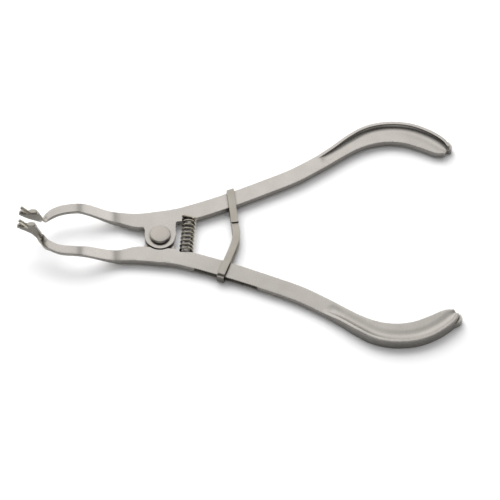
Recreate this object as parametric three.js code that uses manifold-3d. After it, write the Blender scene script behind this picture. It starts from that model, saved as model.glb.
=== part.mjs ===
// Rubber dam clamp forceps: two forged arms that do not cross, joined by a riveted half lap joint,
// with a return spring behind the joint, a locking ring that slides on ratchet teeth, and two clamp pins.
// Units are millimetres. The joint's axis is Z through the origin, the beaks point along -X, the handles
// run along +X, and Z = 0 is the surface that the closed instrument lies on.

import * as THREE from 'three';
import { mergeVertices } from 'three/addons/utils/BufferGeometryUtils.js';
import Module from 'manifold-3d';

const wasm = await Module();
wasm.setup();

// The forged plate that both arms are made of, and the gap between neighbouring pieces.
const PLATE_BOTTOM = 1.35;
const PLATE_TOP = 4.0;
const LAP_LEVEL = (PLATE_BOTTOM + PLATE_TOP) / 2;
const GAP = 0.3;

// The plate's front face falls this much towards the outer edge, along the handles.
const FACE_FALL = 0.45;

// The arms lie a little to -Y of the joint, and the lower tip reaches a little further than the upper one.
const ARM_SHIFT = 0.5;
const LOWER_TIP_REACH = 0.7;

// Palm flange along the outer edge of each grip.
const FLANGE_WIDTH = 1.3;
const FLANGE_RISE = 1.5;
const FLANGE_DROP = PLATE_BOTTOM;
const FLUTE_DEPTH = 0.2;
const FLUTE_WIDTH = 5.0;

// Beaks: the band joggles up from the plate to this level, twists on edge and rises to the tip's pad.
const BEAK_BOTTOM = 8.75;
const BEAK_TOP = 10.1;
const TIP_TOP = 18.9;
const TIP_INNER = 2.0;
const TIP_OUTER = 3.8;
const TIP_MIDDLE = (TIP_INNER + TIP_OUTER) / 2;
const PAD_X = -48.2;
const PAD_LENGTH = 3.5;
const PAD_WIDTH = 2.0;
const PAD_THICKNESS = 1.1;
const ARM_STEPS = 124;

// Half lap joint and its rivet.
const EAR_RADIUS = 5.9;
const UPPER_TAB_RIGHT = 6.2;
const LOWER_TAB_RIGHT = 5.4;
const TAB_REACH = 7.5;
const CROTCH_RADIUS = 2.6;
const RIVET_RADIUS = 1.8;
const RIVET_HEAD_RADIUS = 4.0;
const RIVET_HEAD_HEIGHT = 1.1;
const RIVET_HEAD_CHAMFER = 0.4;
const BURR_RADIUS = 3.7;
const ROUND_SIDES = 40;

// Return spring between the arms, leaning a little, with a tang on each arm inside its end.
const SPRING_SEAT = 7.6;
const SPRING_LEVEL = 2.8;
const WINDOW_TOP = 6.35;
const SPRING_LOWER_X = 9.8;
const SPRING_UPPER_X = 11.4;
const SPRING_RADIUS = 2.32;
const SPRING_WIRE_RADIUS = 0.42;
const SPRING_TURNS = 8;
const SPRING_STEPS_PER_TURN = 14;
const SPRING_WIRE_SIDES = 6;
const TANG_WIDTH = 1.9;
const TANG_HEIGHT = 2.0;
const TANG_LENGTH = 2.4;

// Locking ring: a strip bent into a loop round both handles.
const RING_WIDTH = 2.8;
const RING_STRIP = 1.0;
const RING_WRAP = 0.65;
const RING_TOP_SLOPE = 0.25;
const RING_INSET = 0.04;
const RING_LAP_Y = 4.6;
const RING_LAP_LENGTH = 4.5;
const RING_RAMP_START_Y = -3.0;
const RING_RAMP_END_Y = -8.6;

// Ratchet teeth on the lower handle's outer edge.
const TOOTH_PITCH = 0.75;
const TOOTH_DEPTH = 0.45;
const TOOTH_COUNT = 34;
const TOOTH_FIRST_X = 12.8;
const EDGE_SAMPLES = 600;

// Clamp pins let into the tips. The part inside the tip is thinner.
const PIN_RADIUS = 0.72;
const PIN_ROOT_RADIUS = 0.5;
const PIN_HOLE_RADIUS = 0.8;
const PIN_PROUD = 4.1;
const PIN_SUNK = 1.2;
const PIN_FOOT = 18.3;
const PIN_X = -50.3;
const PIN_LEAN = THREE.MathUtils.degToRad(35);

// ---- helpers -------------------------------------------------------------------------------------------

function solidFrom(geometry) {
  const bare = geometry.clone();
  bare.deleteAttribute('normal');
  bare.deleteAttribute('uv');
  const merged = mergeVertices(bare, 1e-5);
  const mesh = new wasm.Mesh({
    numProp: 3,
    vertProperties: Float32Array.from(merged.attributes.position.array),
    triVerts: Uint32Array.from(merged.index.array),
  });
  return new wasm.Manifold(mesh);
}

function geometryFrom(solid) {
  const mesh = solid.getMesh();
  const geometry = new THREE.BufferGeometry();
  geometry.setAttribute('position', new THREE.BufferAttribute(mesh.vertProperties, 3));
  geometry.setIndex(new THREE.BufferAttribute(mesh.triVerts, 1));
  geometry.computeVertexNormals();
  return geometry;
}

function shapeFrom(points) {
  return new THREE.Shape(points.map(([x, y]) => new THREE.Vector2(x, y)));
}

// A flat outline in XY made into a plate between two levels.
function plate(shape, bottom, top, curveSegments = 10) {
  const geometry = new THREE.ExtrudeGeometry(shape, {
    depth: top - bottom,
    bevelEnabled: false,
    curveSegments,
  });
  geometry.translate(0, 0, bottom);
  return solidFrom(geometry);
}

function disc(radius, bottom, top) {
  const geometry = new THREE.CylinderGeometry(radius, radius, top - bottom, ROUND_SIDES);
  geometry.rotateX(Math.PI / 2);
  geometry.translate(0, 0, (bottom + top) / 2);
  return solidFrom(geometry);
}

// A closed skin through a row of sections, each a loop with the same number of points.
function loft(sections) {
  const count = sections[0].length;
  const positions = sections.flat().flatMap((point) => [point.x, point.y, point.z]);
  const indices = [];
  for (let row = 0; row + 1 < sections.length; row += 1) {
    for (let column = 0; column < count; column += 1) {
      const a = row * count + column;
      const b = row * count + (column + 1) % count;
      indices.push(a, b, b + count, a, b + count, a + count);
    }
  }
  const closeEnd = (row, flip) => {
    const centre = new THREE.Vector3();
    sections[row].forEach((point) => centre.add(point));
    centre.divideScalar(count);
    const middle = positions.length / 3;
    positions.push(centre.x, centre.y, centre.z);
    for (let column = 0; column < count; column += 1) {
      const a = row * count + column;
      const b = row * count + (column + 1) % count;
      indices.push(middle, flip ? a : b, flip ? b : a);
    }
  };
  closeEnd(0, false);
  closeEnd(sections.length - 1, true);
  const geometry = new THREE.BufferGeometry();
  geometry.setAttribute('position', new THREE.BufferAttribute(Float32Array.from(positions), 3));
  geometry.setIndex(indices);
  return geometry;
}

// ---- the arm's stations, for the arm on the +Y side ------------------------------------------------------

// Each station has four corners: inner bottom, inner top, outer top and outer bottom.
function flatStation(inner, outer, bottom = PLATE_BOTTOM, top = PLATE_TOP, grip = 0) {
  return {
    corners: [
      new THREE.Vector3(inner[0], inner[1], bottom),
      new THREE.Vector3(inner[0], inner[1], top),
      new THREE.Vector3(outer[0], outer[1], top),
      new THREE.Vector3(outer[0], outer[1], bottom),
    ],
    grip,
  };
}

// Where the band twists on edge, its inner edge becomes the blade's top and its top becomes the outer face.
function twistedStation(innerBottom, innerTop, outerTop, outerBottom) {
  return {
    corners: [innerBottom, innerTop, outerTop, outerBottom].map((corner) => new THREE.Vector3(...corner)),
    grip: 0,
  };
}

// A section of the blade, from its top [x, z] to its underside [x, z], each with its inner and outer y.
function bladeStation(top, bottom, topY, bottomY) {
  return {
    corners: [
      new THREE.Vector3(top[0], topY[0], top[1]),
      new THREE.Vector3(top[0], topY[1], top[1]),
      new THREE.Vector3(bottom[0], bottomY[1], bottom[1]),
      new THREE.Vector3(bottom[0], bottomY[0], bottom[1]),
    ],
    grip: 0,
  };
}

const ARM_STATIONS = [
  flatStation([110.6, 35.4], [112.9, 38.9], PLATE_BOTTOM, PLATE_TOP, 1),
  flatStation([107.8, 35.5], [111.3, 41.4], PLATE_BOTTOM, PLATE_TOP, 1),
  flatStation([101.8, 38.1], [105.8, 45.7], PLATE_BOTTOM, PLATE_TOP, 1),
  flatStation([95.4, 40.5], [97.7, 49.2], PLATE_BOTTOM, PLATE_TOP, 1),
  flatStation([89.0, 41.2], [88.5, 50.0], PLATE_BOTTOM, PLATE_TOP, 1),
  flatStation([82.6, 40.2], [80.4, 48.2], PLATE_BOTTOM, PLATE_TOP, 1),
  flatStation([77.2, 38.1], [73.5, 44.2], PLATE_BOTTOM, PLATE_TOP, 0.95),
  flatStation([71.2, 34.6], [67.3, 39.6], PLATE_BOTTOM, PLATE_TOP, 0.6),
  flatStation([64.2, 30.0], [60.7, 35.4]),
  flatStation([54.0, 24.0], [51.3, 29.95]),
  flatStation([42.5, 18.9], [39.9, 24.9]),
  flatStation([28.2, 13.0], [25.6, 19.2]),
  flatStation([15.8, 8.5], [13.3, 14.8]),
  flatStation([7.1, 5.9], [5.6, 12.5]),
  flatStation([-1.0, 4.8], [-1.2, 11.5]),
  flatStation([-9.0, 4.3], [-9.0, 10.65]),
  flatStation([-15.5, 6.0], [-15.6, 10.95]),
  flatStation([-19.2, 6.5], [-19.2, 11.1], 2.7, 4.8),
  flatStation([-27.5, 7.3], [-27.5, 11.7], 7.6, 9.0),
  flatStation([-31.5, 7.6], [-31.5, 11.7], BEAK_BOTTOM, BEAK_TOP),
  flatStation([-38.3, 6.7], [-38.3, 10.8], BEAK_BOTTOM, BEAK_TOP),
  flatStation([-42.1, 4.8], [-42.1, 9.0], BEAK_BOTTOM, BEAK_TOP),
  twistedStation([-43.4, 3.7, 9.2], [-43.3, 3.3, 10.4], [-43.3, 7.85, 9.9], [-43.3, 7.8, 8.5]),
  twistedStation([-44.2, 2.9, 10.5], [-44.1, 2.7, 11.5], [-44.4, 6.6, 9.7], [-44.4, 6.3, 8.2]),
  bladeStation([-44.7, 12.7], [-45.4, 9.0], [2.5, 3.8], [4.0, 5.4]),
  bladeStation([-45.1, 14.0], [-46.3, 10.6], [2.45, 3.85], [3.15, 4.5]),
  bladeStation([-45.7, 15.6], [-47.3, 12.0], [2.35, 3.85], [2.5, 4.1]),
  bladeStation([-46.3, 17.5], [-48.4, 13.2], [2.15, 3.75], [2.2, 3.85]),
  bladeStation([-47.6, 18.5], [-49.5, 14.1], [2.0, 3.7], [2.1, 3.75]),
  bladeStation([-49.6, 18.4], [-50.7, 15.1], [2.0, 3.75], [2.2, 3.7]),
  bladeStation([-51.6, 18.1], [-52.1, 16.2], [2.05, 3.75], [2.3, 3.7]),
  bladeStation([-53.6, 18.0], [-53.6, 17.1], [2.3, 3.6], [2.5, 3.5]),
];

// The loop round a station, as [distance from inner to outer edge in mm, height above the bottom as a
// part of the thickness, rise above or drop below the plate in mm].
function sectionProfile(width, grip) {
  const rise = FLANGE_RISE * grip;
  const drop = FLANGE_DROP * grip;
  const flute = FLUTE_DEPTH * grip;
  const root = width - Math.min(FLANGE_WIDTH, width * 0.3);
  const lip = root - Math.min(FLUTE_WIDTH, root * 0.85);
  const floor = lip + (root - lip) * 0.5;
  const wall = lip + (root - lip) * 0.85;
  return [
    [0, 0, 0],
    [0, 1, 0],
    [lip, 1, 0],
    [floor, 1, -flute],
    [wall, 1, rise * 0.2 - flute * 0.6],
    [root, 1, rise],
    [width, 1, rise],
    [width, 0, -drop],
    [root, 0, -drop],
    [wall, 0, flute * 0.6 - drop * 0.2],
    [floor, 0, flute],
    [lip, 0, 0],
  ];
}

const ARM_RAILS = [0, 1, 2, 3].map(
  (corner) => new THREE.CatmullRomCurve3(ARM_STATIONS.map((station) => station.corners[corner])),
);
const GRIP_CURVE = new THREE.CatmullRomCurve3(
  ARM_STATIONS.map((station, index) => new THREE.Vector3(index, station.grip, 0)),
);

// Where a point of the arm really lies. Side is 1 for the upper arm and -1 for the lower one.
function settled(point, side) {
  point.y -= side * ARM_SHIFT * THREE.MathUtils.smoothstep(point.x, -17, -6);
  if (side < 0) {
    point.x -= LOWER_TIP_REACH * (1 - THREE.MathUtils.smoothstep(point.x, -46, -41));
  }
  return point;
}

function armLoft(side) {
  const sections = [];
  for (let step = 0; step <= ARM_STEPS; step += 1) {
    const t = step / ARM_STEPS;
    const [innerBottom, innerTop, outerTop, outerBottom] = ARM_RAILS.map((rail) => rail.getPoint(t));
    const grip = THREE.MathUtils.clamp(GRIP_CURVE.getPoint(t).y, 0, 1);
    const width = innerTop.distanceTo(outerTop);
    const fall = FACE_FALL * THREE.MathUtils.smoothstep((innerTop.x + outerTop.x) / 2, 2, 26);
    sections.push(sectionProfile(width, grip).map(([across, level, shift]) => {
      const low = innerBottom.clone().lerp(outerBottom, across / width);
      const high = innerTop.clone().lerp(outerTop, across / width);
      const point = low.lerp(high, level);
      point.z += shift - level * fall * (across / width);
      return settled(point, side);
    }));
  }
  return solidFrom(loft(sections));
}

// ---- arms ----------------------------------------------------------------------------------------------

// The tab that carries the ear, with a concave crotch on the beak side.
function tabShape(tabRight) {
  const shape = new THREE.Shape();
  const crotchX = -EAR_RADIUS - CROTCH_RADIUS;
  shape.moveTo(tabRight, 0);
  shape.lineTo(tabRight, TAB_REACH);
  shape.lineTo(crotchX, TAB_REACH);
  shape.lineTo(crotchX, TAB_REACH - CROTCH_RADIUS);
  shape.absarc(crotchX, TAB_REACH - 2 * CROTCH_RADIUS, CROTCH_RADIUS, Math.PI / 2, 0, true);
  shape.lineTo(-EAR_RADIUS, 0);
  shape.absarc(0, 0, EAR_RADIUS, Math.PI, 2 * Math.PI, false);
  return shape;
}

// A small lug at the end of the grip, on the flange's outer side.
function heelLug(side) {
  const outline = [[108.0, 41.4], [111.4, 37.3], [113.6, 37.3], [114.3, 39.0], [113.2, 40.8], [110.6, 42.1]];
  const shifted = outline.map(([x, y]) => [x, y - side * ARM_SHIFT]);
  return plate(shapeFrom(shifted), 0, 3.4);
}

function springTang(x) {
  const left = x - TANG_WIDTH / 2;
  const right = x + TANG_WIDTH / 2;
  const tip = SPRING_SEAT - TANG_LENGTH;
  const outline = [[left, tip], [right, tip], [right, SPRING_SEAT + 1], [left, SPRING_SEAT + 1]];
  return plate(shapeFrom(outline), LAP_LEVEL - TANG_HEIGHT / 2, LAP_LEVEL + TANG_HEIGHT / 2);
}

// The pocket in the inner edge that the spring's end coil sits in.
function springSeatCut(x) {
  const reach = SPRING_RADIUS + SPRING_WIRE_RADIUS + GAP;
  const outline = [[x - reach, 0], [x + reach, 0], [x + reach, SPRING_SEAT], [x - reach, SPRING_SEAT]];
  return plate(shapeFrom(outline), PLATE_BOTTOM - 1, PLATE_TOP + 1);
}

// The step between the tab and the spring, in the inner edge of the upper arm.
function windowCut(tabRight, springX) {
  const outline = [[tabRight, 2], [springX, 2], [springX, WINDOW_TOP], [tabRight, WINDOW_TOP]];
  return plate(shapeFrom(outline), PLATE_BOTTOM - 1, PLATE_TOP + 1);
}

function tipReach(side) {
  return side > 0 ? 0 : -LOWER_TIP_REACH;
}

// The flat pad behind the pin, which the clamp's bow rests on.
function tipPad(side) {
  const shape = new THREE.Shape();
  shape.absellipse(PAD_X + tipReach(side), TIP_MIDDLE, PAD_LENGTH / 2, PAD_WIDTH / 2, 0, 2 * Math.PI, false);
  return plate(shape, TIP_TOP - PAD_THICKNESS, TIP_TOP, 20);
}

function pinHole(lean, side) {
  const length = 2 * (PIN_SUNK + GAP);
  const geometry = new THREE.CylinderGeometry(PIN_HOLE_RADIUS, PIN_HOLE_RADIUS, length, 20);
  geometry.rotateX(Math.PI / 2);
  geometry.rotateY(-lean);
  geometry.translate(PIN_X + tipReach(side), TIP_MIDDLE, PIN_FOOT);
  return solidFrom(geometry);
}

// An arm on the +Y side. The upper arm, side 1, has the front half of the lap joint. The lower arm, side -1,
// has the rear half and is mirrored afterwards.
function armSolid(side, springX, tabRight) {
  const inFront = side > 0;
  const earBottom = inFront ? LAP_LEVEL + GAP / 2 : PLATE_BOTTOM;
  const earTop = inFront ? PLATE_TOP : LAP_LEVEL - GAP / 2;
  const recessBottom = inFront ? PLATE_BOTTOM - 1 : LAP_LEVEL - GAP / 2;
  const recessTop = inFront ? LAP_LEVEL + GAP / 2 : PLATE_TOP + 1;
  let arm = armLoft(side);
  arm = arm.add(plate(tabShape(tabRight), earBottom, earTop, 16));
  arm = arm.subtract(springSeatCut(springX));
  if (inFront) {
    arm = arm.subtract(windowCut(tabRight, springX));
  }
  arm = arm.add(springTang(springX));
  arm = arm.subtract(disc(EAR_RADIUS + GAP, recessBottom, recessTop));
  arm = arm.subtract(disc(RIVET_RADIUS + GAP, PLATE_BOTTOM - 1, PLATE_TOP + 1));
  arm = arm.add(heelLug(side));
  arm = arm.add(tipPad(side));
  return arm.subtract(pinHole(PIN_LEAN, side));
}

function mirroredInY(solid) {
  const geometry = geometryFrom(solid);
  geometry.scale(1, -1, 1);
  const index = geometry.index.array;
  for (let corner = 0; corner < index.length; corner += 3) {
    const kept = index[corner];
    index[corner] = index[corner + 1];
    index[corner + 1] = kept;
  }
  return solidFrom(geometry);
}

// The lower arm's outer edge seen along Z, from the beak to the grip, with the distance run along it.
function lowerEdge() {
  const edge = [];
  let run = 0;
  for (let sample = EDGE_SAMPLES; sample >= 0; sample -= 1) {
    const corner = settled(ARM_RAILS[2].getPoint(sample / EDGE_SAMPLES), -1);
    const point = new THREE.Vector2(corner.x, -corner.y);
    run += edge.length > 0 ? point.distanceTo(edge[edge.length - 1].point) : 0;
    edge.push({ point, run });
  }
  return edge;
}

function edgePoint(edge, run) {
  const next = Math.max(edge.findIndex((sample) => sample.run > run), 1);
  const from = edge[next - 1];
  const to = edge[next];
  return from.point.clone().lerp(to.point, (run - from.run) / (to.run - from.run));
}

// A sawtooth strip along the edge, to cut the ratchet teeth with.
function toothCut() {
  const edge = lowerEdge();
  const start = edge.find((sample) => sample.point.x > TOOTH_FIRST_X).run;
  const place = (run, out) => {
    const at = edgePoint(edge, run);
    const ahead = edgePoint(edge, run + 0.5).sub(at).normalize();
    return [at.x + ahead.y * out, at.y - ahead.x * out];
  };
  const outline = [];
  for (let tooth = 0; tooth < TOOTH_COUNT; tooth += 1) {
    const run = start + tooth * TOOTH_PITCH;
    outline.push(place(run + 0.01, -TOOTH_DEPTH));
    outline.push(place(run + TOOTH_PITCH - 0.05, 0.05));
  }
  outline.push(place(start + TOOTH_COUNT * TOOTH_PITCH, 2));
  outline.push(place(start, 2));
  return plate(shapeFrom(outline), PLATE_BOTTOM - 0.5, PLATE_TOP + 0.5);
}

// ---- rivet, burr and pins --------------------------------------------------------------------------------

function latheAboutZ(profile, segments = ROUND_SIDES) {
  const points = profile.map(([radius, z]) => new THREE.Vector2(radius, z));
  const geometry = new THREE.LatheGeometry(points, segments);
  geometry.rotateX(Math.PI / 2);
  return geometry;
}

function rivetGeometry() {
  const seat = PLATE_TOP + GAP;
  const top = seat + RIVET_HEAD_HEIGHT;
  return latheAboutZ([
    [0, 0],
    [RIVET_RADIUS, 0],
    [RIVET_RADIUS, seat],
    [RIVET_HEAD_RADIUS, seat],
    [RIVET_HEAD_RADIUS, top - RIVET_HEAD_CHAMFER],
    [RIVET_HEAD_RADIUS - RIVET_HEAD_CHAMFER, top],
    [0, top],
  ]);
}

function burrGeometry() {
  const hole = RIVET_RADIUS + GAP;
  const top = PLATE_BOTTOM - GAP;
  return latheAboutZ([
    [hole, 0],
    [BURR_RADIUS - RIVET_HEAD_CHAMFER, 0],
    [BURR_RADIUS, RIVET_HEAD_CHAMFER],
    [BURR_RADIUS, top],
    [hole, top],
    [hole, 0],
  ]);
}

function clampPin(side) {
  const geometry = latheAboutZ([
    [0, -PIN_SUNK],
    [PIN_ROOT_RADIUS, -PIN_SUNK],
    [PIN_ROOT_RADIUS, GAP],
    [PIN_RADIUS, 2 * GAP],
    [PIN_RADIUS, PIN_PROUD - 0.2],
    [PIN_RADIUS - 0.2, PIN_PROUD],
    [0, PIN_PROUD],
  ], 20);
  geometry.rotateY(-PIN_LEAN);
  geometry.translate(PIN_X + tipReach(side), side * TIP_MIDDLE, PIN_FOOT);
  return geometry;
}

// ---- return spring ---------------------------------------------------------------------------------------

class SpringLine extends THREE.Curve {
  getPoint(t, target = new THREE.Vector3()) {
    const end = SPRING_SEAT - GAP - SPRING_WIRE_RADIUS;
    const angle = t * SPRING_TURNS * 2 * Math.PI;
    const y = THREE.MathUtils.lerp(-end, end, t);
    const centreX = THREE.MathUtils.lerp(SPRING_LOWER_X, SPRING_UPPER_X, t);
    const x = centreX + SPRING_RADIUS * Math.cos(angle);
    return target.set(x, y, SPRING_LEVEL + SPRING_RADIUS * Math.sin(angle));
  }
}

function springGeometry() {
  const wire = new THREE.Shape();
  wire.absarc(0, 0, SPRING_WIRE_RADIUS, 0, 2 * Math.PI, false);
  return new THREE.ExtrudeGeometry(wire, {
    steps: SPRING_TURNS * SPRING_STEPS_PER_TURN,
    curveSegments: SPRING_WIRE_SIDES,
    extrudePath: new SpringLine(),
  });
}

// ---- locking ring ----------------------------------------------------------------------------------------

// The ring's centre line from the upper handle's outer edge to the lower handle's, seen along Z.
const RING_LINE = [
  [27.3, 20.35],
  [28.8, 4.6],
  [29.4, -1.0],
  [28.5, -5.0],
  [22.6, -19.75],
];

// A flat band that follows part of the centre line, shortened at both ends.
function ringBand(points, width, trimStart, trimEnd) {
  const line = points.map(([x, y]) => new THREE.Vector2(x, y));
  const last = line.length - 1;
  const startStep = line[1].clone().sub(line[0]).setLength(trimStart);
  const endStep = line[last - 1].clone().sub(line[last]).setLength(trimEnd);
  line[0].add(startStep);
  line[last].add(endStep);
  const left = [];
  const right = [];
  line.forEach((point, index) => {
    const before = line[Math.max(index - 1, 0)];
    const after = line[Math.min(index + 1, last)];
    const along = after.clone().sub(before).normalize();
    const across = new THREE.Vector2(-along.y, along.x).multiplyScalar(width / 2);
    const slope = index === 0 ? RING_TOP_SLOPE : 0;
    left.push(point.clone().add(across).add(new THREE.Vector2(0, across.x * slope)));
    right.push(point.clone().sub(across).sub(new THREE.Vector2(0, across.x * slope)));
  });
  return new THREE.Shape([...left, ...right.reverse()]);
}

// The lower leg's end, which dips under the upper leg where the strip is joined. It is a hair smaller than
// the strip, so that the joined faces overlap cleanly.
function ringLapPiece(front) {
  const line = [
    [28.37, RING_LAP_Y + RING_LAP_LENGTH],
    [28.8, RING_LAP_Y],
    [29.4, -1.0],
    [28.5, -5.0],
    [26.7, -9.5],
  ];
  const band = ringBand(line, RING_WIDTH - 2 * RING_INSET, 0, 0);
  const geometry = new THREE.ExtrudeGeometry(band, { depth: RING_STRIP - 2 * RING_INSET, bevelEnabled: false });
  geometry.translate(0, 0, front + RING_INSET);
  const position = geometry.attributes.position;
  for (let corner = 0; corner < position.count; corner += 1) {
    const part = (position.getY(corner) - RING_RAMP_END_Y) / (RING_RAMP_START_Y - RING_RAMP_END_Y);
    const dip = (RING_STRIP - 2 * RING_INSET) * THREE.MathUtils.clamp(part, 0, 1);
    position.setZ(corner, position.getZ(corner) - dip);
  }
  return solidFrom(geometry);
}

function ringSolid() {
  const front = PLATE_TOP + GAP;
  const back = PLATE_BOTTOM - GAP;
  const lapWindow = [[20, RING_RAMP_END_Y], [36, RING_RAMP_END_Y], [36, RING_LAP_Y], [20, RING_LAP_Y]];
  let ring = plate(ringBand(RING_LINE, RING_WIDTH, 0, 0), back - RING_STRIP, front + RING_STRIP);
  ring = ring.subtract(plate(ringBand(RING_LINE, RING_WIDTH + 4, RING_WRAP, RING_WRAP), back, front));
  ring = ring.subtract(plate(shapeFrom(lapWindow), front - 0.1, front + RING_STRIP + 1));
  return ring.add(ringLapPiece(front));
}

// ---- assembly --------------------------------------------------------------------------------------------

const steel = { metalness: 1.0, roughness: 0.38 };
const armSteel = new THREE.MeshStandardMaterial({ ...steel, color: 0xb9b4aa });
const rivetSteel = new THREE.MeshStandardMaterial({ ...steel, color: 0xaaa39a });
const springSteel = new THREE.MeshStandardMaterial({ ...steel, color: 0x9a9484, roughness: 0.3 });
const ringSteel = new THREE.MeshStandardMaterial({ ...steel, color: 0xa8a493 });
const pinSteel = new THREE.MeshStandardMaterial({ ...steel, color: 0x8d8a7c, roughness: 0.32 });

const group = new THREE.Group();

function addPiece(name, geometry, material) {
  const mesh = new THREE.Mesh(geometry, material);
  mesh.name = name;
  group.add(mesh);
}

const upperArm = armSolid(1, SPRING_UPPER_X, UPPER_TAB_RIGHT);
const lowerArm = mirroredInY(armSolid(-1, SPRING_LOWER_X, LOWER_TAB_RIGHT)).subtract(toothCut());

addPiece('upper_arm', geometryFrom(upperArm), armSteel);
addPiece('lower_arm', geometryFrom(lowerArm), armSteel);
addPiece('pivot_rivet', rivetGeometry(), rivetSteel);
addPiece('rivet_burr', burrGeometry(), rivetSteel);
addPiece('return_spring', springGeometry(), springSteel);
addPiece('locking_ring', geometryFrom(ringSolid()), ringSteel);
addPiece('upper_clamp_pin', clampPin(1), pinSteel);
addPiece('lower_clamp_pin', clampPin(-1), pinSteel);

export default group;
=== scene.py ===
"""Looks for the rubber dam clamp forceps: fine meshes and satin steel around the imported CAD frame.

Shapes are worked out in millimetres in the CAD frame: the joint's axis is Z through the origin, the beaks
point along -X, the handles run along +X, and the instrument lies on Z = 0.
"""

import math

import bpy
import numpy as np
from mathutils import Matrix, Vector


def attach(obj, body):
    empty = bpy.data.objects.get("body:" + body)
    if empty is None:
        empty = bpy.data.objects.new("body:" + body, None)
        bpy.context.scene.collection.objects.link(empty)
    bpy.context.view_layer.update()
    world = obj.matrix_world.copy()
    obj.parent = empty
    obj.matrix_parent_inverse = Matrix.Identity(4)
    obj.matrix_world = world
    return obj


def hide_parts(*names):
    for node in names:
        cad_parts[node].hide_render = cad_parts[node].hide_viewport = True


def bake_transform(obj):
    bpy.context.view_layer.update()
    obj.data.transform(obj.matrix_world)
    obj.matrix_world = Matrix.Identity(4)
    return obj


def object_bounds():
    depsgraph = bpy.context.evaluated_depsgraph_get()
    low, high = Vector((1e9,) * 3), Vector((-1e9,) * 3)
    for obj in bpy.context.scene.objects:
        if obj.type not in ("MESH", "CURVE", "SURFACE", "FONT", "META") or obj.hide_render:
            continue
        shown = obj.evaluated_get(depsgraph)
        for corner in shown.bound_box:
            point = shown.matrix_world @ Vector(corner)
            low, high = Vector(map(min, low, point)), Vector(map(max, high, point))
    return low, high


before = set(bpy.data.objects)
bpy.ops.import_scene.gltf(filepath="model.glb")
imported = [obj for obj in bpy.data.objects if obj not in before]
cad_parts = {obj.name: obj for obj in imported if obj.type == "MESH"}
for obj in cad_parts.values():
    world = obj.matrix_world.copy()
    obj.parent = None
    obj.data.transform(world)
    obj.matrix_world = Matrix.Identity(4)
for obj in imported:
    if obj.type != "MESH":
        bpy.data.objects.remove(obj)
CAD_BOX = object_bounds()
MM = 0.001

# ---- driving dimensions, in millimetres, mostly the CAD model's ------------------------------------------

PLATE_BOTTOM = 1.35
PLATE_TOP = 4.0
LAP_LEVEL = (PLATE_BOTTOM + PLATE_TOP) / 2
LAP_GAP = 0.12
FACE_FALL = 0.45

FLANGE_WIDTH = 1.3
FLANGE_RISE = 1.5
FLANGE_DROP = PLATE_BOTTOM
FLUTE_WIDTH = 5.0
FLUTE_FLOOR = 0.12
FLUTE_START_DEPTH = 0.4
FLUTE_START_X = 62.6
FLUTE_RUN_IN = 2.6

BEAK_BOTTOM = 8.75
BEAK_TOP = 10.1
TIP_TOP = 18.9
TIP_INNER = 2.0
TIP_OUTER = 3.8
LOWER_TIP_REACH = 0.7
ARM_SHIFT = 0.5

EAR_RADIUS = 5.9
EAR_CLEARANCE = 0.4
TAB_RIGHT_UPPER = 6.2
TAB_RIGHT_LOWER = 5.4
TAB_REACH = 7.5
CROTCH_RADIUS = 2.6
RIVET_RADIUS = 1.8
RIVET_HEAD_RADIUS = 4.0
RIVET_HEAD_TOP = 5.4
BURR_RADIUS = 3.7

SPRING_SEAT = 7.6
WINDOW_TOP = 6.35
SPRING_LOWER_X = 9.8
SPRING_UPPER_X = 11.4
SPRING_LEVEL = 2.8
SPRING_RADIUS = 2.32
WIRE_RADIUS = 0.45
TANG_WIDTH = 1.9
TANG_HEIGHT = 2.0
TANG_LENGTH = 2.4

RING_WIDTH = 2.8
RING_SCARF = 0.45
RING_STRIP = 1.0
RING_FRONT = 4.85
RING_BACK = 0.62

TOOTH_PITCH = 0.75
TOOTH_DEPTH = 0.45
TOOTH_COUNT = 34
TOOTH_FIRST_X = 12.8

PIN_RADIUS = 0.72
PIN_PROUD = 4.1
PIN_SUNK = 1.2
PIN_X = -50.3
PIN_LEAN = math.radians(35)
PIN_FOOT = 18.3
TIP_MIDDLE = (TIP_INNER + TIP_OUTER) / 2
PAD_X = -48.2
PAD_LENGTH = 3.5

EDGE = 0.22
BEAK_EDGE = 0.36
STEPS_PER_STATION = 16

# The lower handle's flute starts with less of a step than the upper one's.
UPPER_FLUTE_START = 1.0
LOWER_FLUTE_START = 0.35
HEEL_REACH = 0.4
TIP_REACH = 0.16
SEAT_CLEARANCE = 0.12
WINDOW_CORNER = 0.8

FLOOR_HALF_SIZE = 12.0
FLOOR_DROP = 0.00002


# ---- small geometry helpers ------------------------------------------------------------------------------


def smooth(t):
    """0 to 1 with flat ends."""
    t = min(max(t, 0.0), 1.0)
    return t * t * (3 - 2 * t)


def mix(a, b, t):
    return a + (b - a) * t


def arc(centre, radius, start, end, steps):
    """Points on an arc, angles in degrees."""
    angles = np.radians(np.linspace(start, end, steps + 1))
    return [(centre[0] + radius * math.cos(a), centre[1] + radius * math.sin(a)) for a in angles]


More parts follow.
